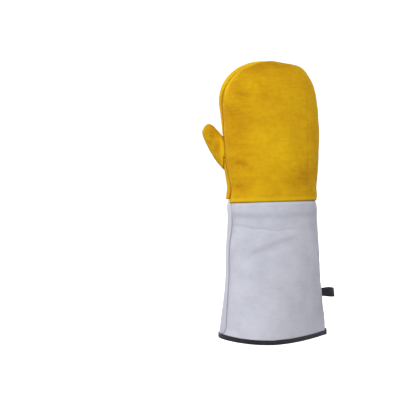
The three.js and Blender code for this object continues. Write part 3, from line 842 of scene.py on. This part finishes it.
def cuff_shell(name, side):
    foot = np.concatenate([np.linspace(JOINT - CUFF_BOTTOM, FOOT_ROLL, CUFF_ROWS)[:-1],
                           FOOT_ROLL * (1 - np.cos(np.linspace(math.pi / 2, 0, 8)))])
    level = JOINT - foot
    level[-1] -= JOINT_GAP
    halves = [panel_grids(cuff_ribs(side, left, level, foot), CUFF_CROWN_STEPS) for left in (True, False)]
    both = [np.concatenate([a, b[:, -2::-1]], axis=1) for a, b in zip(*halves)]
    return shell(name, *both, level, closed_last=True)


# The dark column is painted shade in each crease's groove; the first rows darken the band under the seam
# allowance's step.
cuff_creases = creases(
    "taper width depth dark swell",
    (5, 4.5, 0.2, 0.8, 0, (-67, 185), (-30, 184), (0, 184), (30, 185.5), (66, 187)),
    (14, 4.5, 0.1, 0.8, 0, (-70, 185), (-50, 185), (-20, 184)),
    (9, 3, 0.3, 0.8, 0, (-68, 171), (-58, 171), (-46, 170)),
    (18, 1.5, 0.4, 0.35, 0.4, (-65, 170.5), (-50, 169.7), (-37, 166.5), (-20, 165.5), (-2, 163),
     (15, 165.4), (34, 167)),
    (24, 3.4, 0.4, 0.3, 0, (-60, 111), (-51, 113.5), (-41, 125.5), (-31, 133), (-21, 136.5),
     (-12, 140.5), (0, 145.5), (16, 148.5), (36, 149.5)),
    (26, 5.5, -0.55, 0, 0, (-57, 121), (-48, 124), (-38, 135), (-28, 142.5), (-17, 146), (-9, 150),
     (3, 155), (18, 157.5), (36, 158)),
    (12, 4, -0.5, 0, 0, (-56, 138), (-44, 140), (-32, 137)),
    (7, 2.2, 0.5, 0.2, 0, (-68, 157), (-60, 160), (-52, 157)),
    (8, 2.2, 0.4, 0, 0, (-67, 150), (-58, 148), (-48, 151)),
    (12, 1.6, 0.5, 0.3, 0, (62, 104), (65, 84), (65.5, 62)),
    (6, 1.4, 0.5, 0.2, 0, (60, 80), (66, 76), (74, 77)),
    (14, 6, 0.35, 0, 0, (-64, 96), (-52, 92), (-34, 95)),
    (18, 7, 0.4, 0, 0, (8, 118), (30, 124), (56, 122)),
)


def grey_leather():
    """Grey-white split leather, pressed smooth: faint clouds and brushing, fine pores and a light
    grain, with a thin dark line of painted shade in its seams and a lighter lip beside them, partly worn
    leather and partly painted highlight."""
    leather = Finish("grey leather", roughness=0.72, sheen=0.06)
    clouds = leather.noise(30, detail=3)
    flecks = leather.noise(3, leather.coordinates(scale=(0.2, 0.4, 1)), detail=4, roughness=0.6)
    pores = leather.noise(0.8, detail=3, roughness=0.6)
    # The darkened mark here is painted shade in creases and under the hand, and, where it is negative,
    # painted light toward the hem and on the palm strip.
    tone = clouds * 0.5 + flecks * 0.28 + pores * 0.22 - leather.mark("darkened") * 0.12
    colour = leather.ramp(tone, (0.34, 0.455, 0.464, 0.530), (0.50, 0.530, 0.538, 0.612),
                          (0.66, 0.590, 0.598, 0.670))
    # Lighter lip colour: partly wear and partly painted highlight. Dark seam colour: painted shade in the
    # seam groove.
    colour = leather.beside_seams(colour, (1.0, 2.2, 3.0, 6.0), (0.660, 0.668, 0.730),
                                  (0.2, 1.7), 0.6, (0.150, 0.150, 0.170))
    leather.feed({"Base Color": colour, "Roughness": leather.smooth(flecks, 0.3, 0.7) * 0.12 + 0.66,
                  "Normal": leather.bump(flecks, 0.2, leather.bump(pores, 0.07))})
    return leather.material


HEM_LIGHT_PAINT = 0.6
CUFF_ALLOWANCE, CUFF_ALLOWANCE_EDGE = 22.5, 1.8
leather = grey_leather()
for name, side in (("cuff_back", BACK), ("cuff_palm", PALM)):
    cuff_panel = cuff_shell(name + "_leather", side)
    points, _ = read_points(cuff_panel)
    x, y, z = points.T
    foot = JOINT - z
    sideways = np.clip(x / 60, -1, 1)
    lift = leather_life(cuff_panel, 12.4 + side, swell=0.4, pucker=0.3)
    lift += (0.8 - 0.1 * sideways) / (1 + np.exp((foot - CUFF_ALLOWANCE) / CUFF_ALLOWANCE_EDGE))
    if side == BACK:
        depth, crease_shade = pressed(points, cuff_creases)
        lift -= depth
        # Painted light: the back panel is made lighter toward the hem, more on the thumb side.
        painted_hem_light = (1 - rising(z, 0, 150)) * (1 - 0.4 * sideways)
        # Painted shade: darker just under the hand's foot, and over a wider band toward the right of the
        # cuff's top.
        painted_shade_under_hand = 0.8 * np.exp(-((foot / 10) ** 2))
        painted_shade_under_hand += 0.9 * rising(x, 0, 50) * np.exp(-((foot / 35) ** 2))
        write_mark(cuff_panel, "darkened", crease_shade + painted_shade_under_hand - HEM_LIGHT_PAINT * painted_hem_light)
    else:
        # Painted highlight on the palm panel's strip that shows beyond the thumb-side seam.
        write_mark(cuff_panel, "darkened", -1.5 * np.exp(-((y / STRIP_PAINT_WIDTH) ** 2)) * (x < 0))
    raise_surface(cuff_panel, lift * rising(z, 7, 10) * rising(foot, 0, 8))
    cuff_panel.data.materials.append(leather)
    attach(cuff_panel, "root")
    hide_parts(name)


# Hem binding: dark woven tape folded over the cut edge of the cuff and sewn through both its
# legs. Its end laps over its start at the little-finger seam.

TAPE = 1.2
TAPE_OUTER_HEIGHT = 7
TAPE_INNER_HEIGHT = 6
LAP_THICKNESS, LAP_RISE, LAP_HALF_LENGTH = 1.0, 1.6, 8
HEM_STEPS = 60
TAPE_GAP = 0.2
RIB_PITCH = 0.9


def hem_path():
    """The cuff's outer face at its cut edge, once round, thumb side first and the back first."""
    quarters = []
    for side, left in ((BACK, True), (BACK, False), (PALM, False), (PALM, True)):
        rib = cuff_ribs(side, left, np.array([float(CUFF_BOTTOM)]))
        turn = np.linspace(0, math.pi / 2, HEM_STEPS + 1)
        across, up = crown_point(turn, rib.crown, rib.fullness)
        roll_top = SEAM_GAP / 2 + rib.roll
        height = roll_top + (rib.depth - roll_top) * up
        x = rib.edge[0, 0] + rib.inward[0, 0] * rib.reach * (1 - across)
        quarters.append(np.stack([x, side * height], 1))
    back = np.concatenate([quarters[0], quarters[1][-2::-1]])
    palm = np.concatenate([quarters[2], quarters[3][-2::-1]])
    path, run = evenly(np.concatenate([back, palm, back[:1]]), 4 * HEM_STEPS + 1)
    return path[:-1], run[:-1]


def beside(tangent):
    """Unit vectors on the level, square to a path's tangents and on their right."""
    tangent = tangent / np.linalg.norm(tangent, axis=1)[:, None]
    return np.stack([tangent[:, 1], -tangent[:, 0]], 1)


def tape(name, grid, run, closed):
    """Mesh object of a tape, from the corners of its section at each place along its run. It goes
    round and meets itself, or has flat ends."""
    rows, columns = grid.shape[:2]
    index = np.arange(rows * columns).reshape(rows, columns)
    onward = np.roll(index, -1, axis=0)
    quads = np.stack([index, onward, np.roll(onward, -1, axis=1), np.roll(index, -1, axis=1)], axis=-1)
    if closed:
        quads = quads.reshape(-1, 4)
    else:
        k = np.arange(columns // 2 - 1)
        ends = [np.stack([row[k], row[k + 1], row[columns - 2 - k], row[columns - 1 - k]], axis=1)
                for row in (index[0], index[-1][::-1])]
        quads = np.concatenate([quads[:-1].reshape(-1, 4), *ends])
    return welded(name, grid.reshape(-1, 3), quads, {"along_seam": np.repeat(run, columns)})


def rounded_corners(corners, radius):
    """Closed outline of (offset, height) corners, each one rounded."""
    corners = np.array(corners, float)
    smooth = []
    for k, corner in enumerate(corners):
        before, after = corners[k - 1] - corner, corners[(k + 1) % len(corners)] - corner
        room_before, room_after = np.linalg.norm(before), np.linalg.norm(after)
        r = min(radius, 0.45 * room_before, 0.45 * room_after)
        a, b = corner + before / room_before * r, corner + after / room_after * r
        for t in np.linspace(0, 1, 4):
            smooth.append((1 - t) ** 2 * a + 2 * t * (1 - t) * corner + t**2 * b)
    return np.array(smooth)


def lap_share(path):
    """How far the tape's lapped end stands up at each place, near the middle of the right side."""
    from_middle = np.abs(path[:, 1] - 2) / LAP_HALF_LENGTH
    return np.where(path[:, 0] > 0, smoothstep(1.6 * (1 - from_middle)), 0)


def hem_section(path):
    """Offsets out from the hem's path, and heights, of the folded tape's corners at each place."""
    inner = -WALL - TAPE_GAP
    floor = CUFF_BOTTOM - 0.4
    plain = rounded_corners([
        (TAPE_GAP + TAPE, 0), (TAPE_GAP + TAPE, TAPE_OUTER_HEIGHT), (TAPE_GAP, TAPE_OUTER_HEIGHT),
        (TAPE_GAP, floor), (inner, floor), (inner, TAPE_INNER_HEIGHT),
        (inner - TAPE, TAPE_INNER_HEIGHT), (inner - TAPE, 0),
    ], 0.55)
    lap = lap_share(path)[:, None]
    outer = rising(plain[None, :, 0], 0, TAPE)
    top = rising(plain[None, :, 1], floor, TAPE_OUTER_HEIGHT - floor)
    offset = plain[None, :, 0] + LAP_THICKNESS * lap * outer
    height = plain[None, :, 1] + LAP_RISE * lap * outer * top
    wave = np.array([noise.noise(Vector((x / 9, y / 9, 4.0))) for x, y in path])[:, None]
    return offset, height + 0.35 * wave * outer * top


def black_tape():
    """Near-black woven tape: ribs across its run, a worn brown-grey bloom along them."""
    weave = Finish("black tape", roughness=0.8, sheen=0.3, sheen_tint=(0.75, 0.72, 0.8, 1))
    along = weave.mark("along_seam")
    ribs_across = (along * (2 * math.pi / RIB_PITCH)).math("SINE")
    threads = weave.noise(0.7, detail=2)
    bloom = weave.noise(6, detail=3)
    tone = bloom * 0.55 + threads * 0.3 + ribs_across * 0.06 + 0.08
    colour = weave.ramp(tone, (0.35, 0.012, 0.010, 0.014), (0.55, 0.024, 0.021, 0.027),
                        (0.75, 0.050, 0.044, 0.052))
    weave.feed({"Base Color": colour, "Normal": weave.bump(ribs_across * 0.5 + threads, 0.16)})
    return weave.material


tape_finish = black_tape()
hem, hem_run = hem_path()
outward = beside(np.roll(hem, -1, axis=0) - np.roll(hem, 1, axis=0))
offset, height = hem_section(hem)
hem_grid = hem[:, None] + outward[:, None] * offset[:, :, None]
hem_grid = np.concatenate([hem_grid, height[:, :, None]], axis=2)
binding = tape("hem_binding_tape", hem_grid, hem_run, closed=True)
binding.data.materials.append(tape_finish)
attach(binding, "root")
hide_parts("hem_binding")


# Hem stitches: two rows of dark thread through the tape, one on its outer leg and one on its
# inner leg. Each stitch is a short swelling of thread, half sunk in the weave.

STITCH_SPACING = 3.4
STITCH_LENGTH = 2.5
STITCH_THICKNESS = 0.62
STITCH_HEIGHT = 5.1


def stitch_group():
    """Geometry nodes that set stitches along a path, each laid along it and facing its lift."""
    tree = bpy.data.node_groups.new("stitch_row", "GeometryNodeTree")
    for label, kind in (("Path", "Geometry"), ("Spacing", "Float"), ("Length", "Float"),
                        ("Thickness", "Float"), ("Unevenness", "Float"), ("Seed", "Int"),
                        ("Thread", "Material")):
        tree.interface.new_socket(label, in_out="INPUT", socket_type="NodeSocket" + kind)
    tree.interface.new_socket("Stitches", in_out="OUTPUT", socket_type="NodeSocketGeometry")
    graph = Graph(tree)
    given = tree.nodes.new("NodeGroupInput")
    path, spacing, length, thickness, unevenness, seed, thread = (
        Value(graph, output) for output in given.outputs[:7])
    curve = graph.node("GeometryNodeMeshToCurve", {}, {"Mesh": path})
    places = graph.node("GeometryNodeResampleCurve", {"mode": "LENGTH"},
                        {"Curve": curve, "Length": spacing})
    ball = graph.node("GeometryNodeMeshUVSphere", {}, {"Segments": 8, "Rings": 5, "Radius": 0.5})
    size = graph.node("ShaderNodeCombineXYZ", {}, {"X": length, "Y": thickness, "Z": thickness})
    stitch = graph.node("GeometryNodeTransform", {}, {"Geometry": ball, "Scale": size})
    tangent = graph.node("GeometryNodeInputTangent", {}, {})
    lift = graph.node("GeometryNodeInputNamedAttribute", {"data_type": "FLOAT_VECTOR"}, {"Name": "lift"})
    turned = graph.node("FunctionNodeAlignRotationToVector", {"axis": "X"}, {"Vector": tangent})
    turned = graph.node("FunctionNodeAlignRotationToVector", {"axis": "Z", "pivot_axis": "X"},
                        {"Rotation": turned, "Vector": lift})
    spread = graph.node("FunctionNodeRandomValue", {"data_type": "FLOAT"},
                        {"Min": 1 - unevenness, "Max": unevenness + 1, "Seed": seed}, 1)
    row = graph.node("GeometryNodeInstanceOnPoints", {}, {"Points": places, "Instance": stitch,
                                                          "Rotation": turned, "Scale": spread})
    solid = graph.node("GeometryNodeRealizeInstances", {}, {"Geometry": row})
    finished = graph.node("GeometryNodeSetMaterial", {}, {"Geometry": solid, "Material": thread})
    out = tree.nodes.new("NodeGroupOutput")
    tree.links.new(finished.output, out.inputs["Stitches"])
    return tree


def stitch_row(name, path, lift, closed, seed):
    """Mesh object of one row of stitches along points in millimetres."""
    count = len(path)
    mesh = bpy.data.meshes.new(name)
    edges = [(k, (k + 1) % count) for k in range(count if closed else count - 1)]
    mesh.from_pydata(np.array(path) * MM + [shift_x, 0, 0], edges, [])
    mesh.attributes.new("lift", "FLOAT_VECTOR", "POINT").data.foreach_set("vector", np.ravel(lift))
    piece = linked(name, mesh)
    step = piece.modifiers.new("stitches", "NODES")
    step.node_group = stitch_nodes
    values = {"Spacing": STITCH_SPACING * MM, "Length": STITCH_LENGTH * MM, "Unevenness": 0.08,
              "Thickness": STITCH_THICKNESS * MM, "Seed": seed, "Thread": thread_finish}
    for socket in stitch_nodes.interface.items_tree:
        if socket.name in values:
            step[socket.identifier] = values[socket.name]
    apply_steps(piece)
    piece.data.shade_smooth()
    return piece


def dark_thread():
    thread = Finish("dark thread", roughness=0.6, sheen=0.15)
    fibres = thread.noise(0.5, detail=2)
    colour = thread.ramp(fibres, (0.35, 0.022, 0.020, 0.024), (0.70, 0.070, 0.064, 0.070))
    thread.feed({"Base Color": colour})
    return thread.material


stitch_nodes = stitch_group()
thread_finish = dark_thread()
outer_face = TAPE_GAP + TAPE + LAP_THICKNESS * lap_share(hem)
inner_face = np.full(len(hem), -WALL - TAPE_GAP - TAPE)
for label, offset, facing in (("outer", outer_face, 1), ("inner", inner_face, -1)):
    flat = hem + outward * offset[:, None]
    path = np.column_stack([flat, np.full(len(hem), STITCH_HEIGHT)])
    lift = np.column_stack([outward * facing, np.zeros(len(hem))])
    row = stitch_row(f"hem_stitches_{label}", path, lift, True, 4)
    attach(row, "root")
    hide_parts("hem_binding")


# Hanging loop: a short length of the same tape, folded on itself, with both its ends caught in
# the cuff's little-finger seam.

LOOP_Z = 65.5
LOOP_HEIGHT = 13
LOOP_TAPE = 1.5
LOOP_HALF_WIDTH = 6.6
LOOP_ROOT_HALF = 1.25
LOOP_STEPS = 64
LOOP_SLANT = 0.11


def loop_centre_line():
    """The folded tape's middle line seen from above, from one end in the seam to the other."""
    half = LOOP_HALF_WIDTH - LOOP_TAPE / 2
    root = LOOP_ROOT_HALF - LOOP_TAPE / 2 + 0.1
    knots = [(-1.5, -root), (4.0, -root - 0.35), (9.0, -half * 0.8), (14.5, -half), (18.7, -half * 0.62),
             (LOOP_LENGTH - LOOP_TAPE / 2, 0)]
    return spline_points(knots + [(x, -y) for x, y in knots[-2::-1]], LOOP_STEPS + 1)


def loop_tape():
    line = loop_centre_line()
    across = beside(np.gradient(line, axis=0))
    half_height, half_tape = LOOP_HEIGHT / 2, LOOP_TAPE / 2
    section = rounded_corners([(half_tape, -half_height), (half_tape, half_height),
                               (-half_tape, half_height), (-half_tape, -half_height)], 0.6)
    reach = line[:, :1] / LOOP_LENGTH
    flare = 1 + 0.06 * reach
    slant = LOOP_SLANT * reach * section[None, :, 1]
    x = LOOP_ROOT + line[:, :1] + across[:, :1] * section[None, :, 0] - slant
    y = line[:, 1:] + across[:, 1:] * section[None, :, 0]
    z = LOOP_Z + section[None, :, 1] * flare - 0.4 * reach
    return tape("hanging_loop_tape", np.stack([x, y, z], axis=2), run_length(line), closed=False)


loop = loop_tape()
loop.data.materials.append(tape_finish)
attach(loop, "root")
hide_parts("hanging_loop")


# Bar tack: a tight zigzag of the same thread that holds the loop's two ends together by the seam.

TACK_FROM_ROOT = 3.2
TACK_TURNS = 9
TACK_WIDTH = 1.6
tack_heights = LOOP_Z + np.linspace(-0.36, 0.36, TACK_TURNS) * LOOP_HEIGHT
for label, facing in (("back", -1), ("palm", 1)):
    zigzag = TACK_WIDTH * np.where(np.arange(TACK_TURNS) % 2, 0.5, -0.5)
    face = facing * (LOOP_ROOT_HALF + 0.3)
    path = np.column_stack([LOOP_ROOT + TACK_FROM_ROOT + zigzag, np.full(TACK_TURNS, face), tack_heights])
    lift = np.tile([0.0, facing, 0.0], (TACK_TURNS, 1))
    tack = stitch_row(f"bar_tack_{label}", path, lift, False, 9)
    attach(tack, "root")
    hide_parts("hanging_loop")


# Studio: a pale floor that curves up into a round pale wall, soft lamps in front, at the left and
# behind, and the camera at the photograph's angle. The floor and wall throw no light on the glove.

STUDIO_RADIUS, WALL_HEIGHT, CURVE_RADIUS = 4.0, 4.5, 1.2
STUDIO_TURNS = 48
curve = np.linspace(0, math.pi / 2, 13)
reach = np.concatenate([[0.0], STUDIO_RADIUS - CURVE_RADIUS * (1 - np.sin(curve)), [STUDIO_RADIUS]])
rise = np.concatenate([[0.0], CURVE_RADIUS * (1 - np.cos(curve)), [WALL_HEIGHT]])
around = np.linspace(0, 2 * math.pi, STUDIO_TURNS, endpoint=False)
points = np.stack([np.outer(np.cos(around), reach), np.outer(np.sin(around), reach),
                   np.tile(rise, (STUDIO_TURNS, 1))], axis=2)
index = np.arange(STUDIO_TURNS * len(reach)).reshape(STUDIO_TURNS, -1)
onward = np.roll(index, -1, axis=0)
quads = np.stack([index[:, :-1], index[:, 1:], onward[:, 1:], onward[:, :-1]], axis=-1).reshape(-1, 4)
studio = welded("studio_floor", points.reshape(-1, 3) / MM, quads[:, ::-1], {})
pale = Finish("studio floor", roughness=0.9)
pale.feed({"Base Color": (0.92, 0.92, 0.92, 1), "Emission Color": (1, 1, 1, 1), "Emission Strength": 0.9})
studio.data.materials.append(pale.material)
studio.visible_diffuse = False

GLOVE_MIDDLE = Vector((0, 0, 0.21))
LAMP_DISTANCE = 2


def soft_light(name, azimuth, elevation, size, power):
    """Square soft lamp that faces the glove, at angles from the front of its back panel."""
    turn, rise = math.radians(azimuth), math.radians(elevation)
    lamp = bpy.data.lights.new(name, "AREA")
    lamp.size, lamp.energy = size, power
    light = linked(name, lamp)
    toward = Vector((math.sin(turn) * math.cos(rise), -math.cos(turn) * math.cos(rise), math.sin(rise)))
    light.location = GLOVE_MIDDLE + LAMP_DISTANCE * toward
    light.rotation_euler = (-toward).to_track_quat("-Z", "Y").to_euler()


soft_light("key", -30, 18, 0.8, 29)
soft_light("side", -75, 5, 0.8, 10)
soft_light("fill", 65, 5, 0.8, 10.5)
soft_light("rear left", -150, 35, 1.0, 16)
soft_light("rear right", 130, 35, 1.0, 20)

world = bpy.data.worlds.new("studio")
world.use_nodes = True
Graph(world.node_tree).fill(world.node_tree.nodes["Background"], {"Color": (1, 1, 1, 1), "Strength": 0.2})
bpy.context.scene.world = world
bpy.context.scene.view_settings.view_transform = "Standard"

CAMERA_FOCAL_PIXELS, FRAME_PIXELS = 500, 400
SENSOR_WIDTH = 36
CAMERA_DISTANCE = 0.772
CAMERA_TURN = math.radians(7)
GLOVE_OFF_AXIS = 0.111
CAMERA_HEIGHT = 0.209
sight = Vector((math.sin(CAMERA_TURN), math.cos(CAMERA_TURN), 0))
sideways = Vector((math.cos(CAMERA_TURN), -math.sin(CAMERA_TURN), 0))
eye = Vector((shift_x, 0, CAMERA_HEIGHT)) - sight * CAMERA_DISTANCE - sideways * GLOVE_OFF_AXIS
camera = linked("camera", bpy.data.cameras.new("camera"))
camera.data.sensor_width = SENSOR_WIDTH
camera.data.lens = SENSOR_WIDTH * CAMERA_FOCAL_PIXELS / FRAME_PIXELS
camera.location = eye
camera.rotation_euler = sight.to_track_quat("-Z", "Y").to_euler()
bpy.context.scene.camera = camera
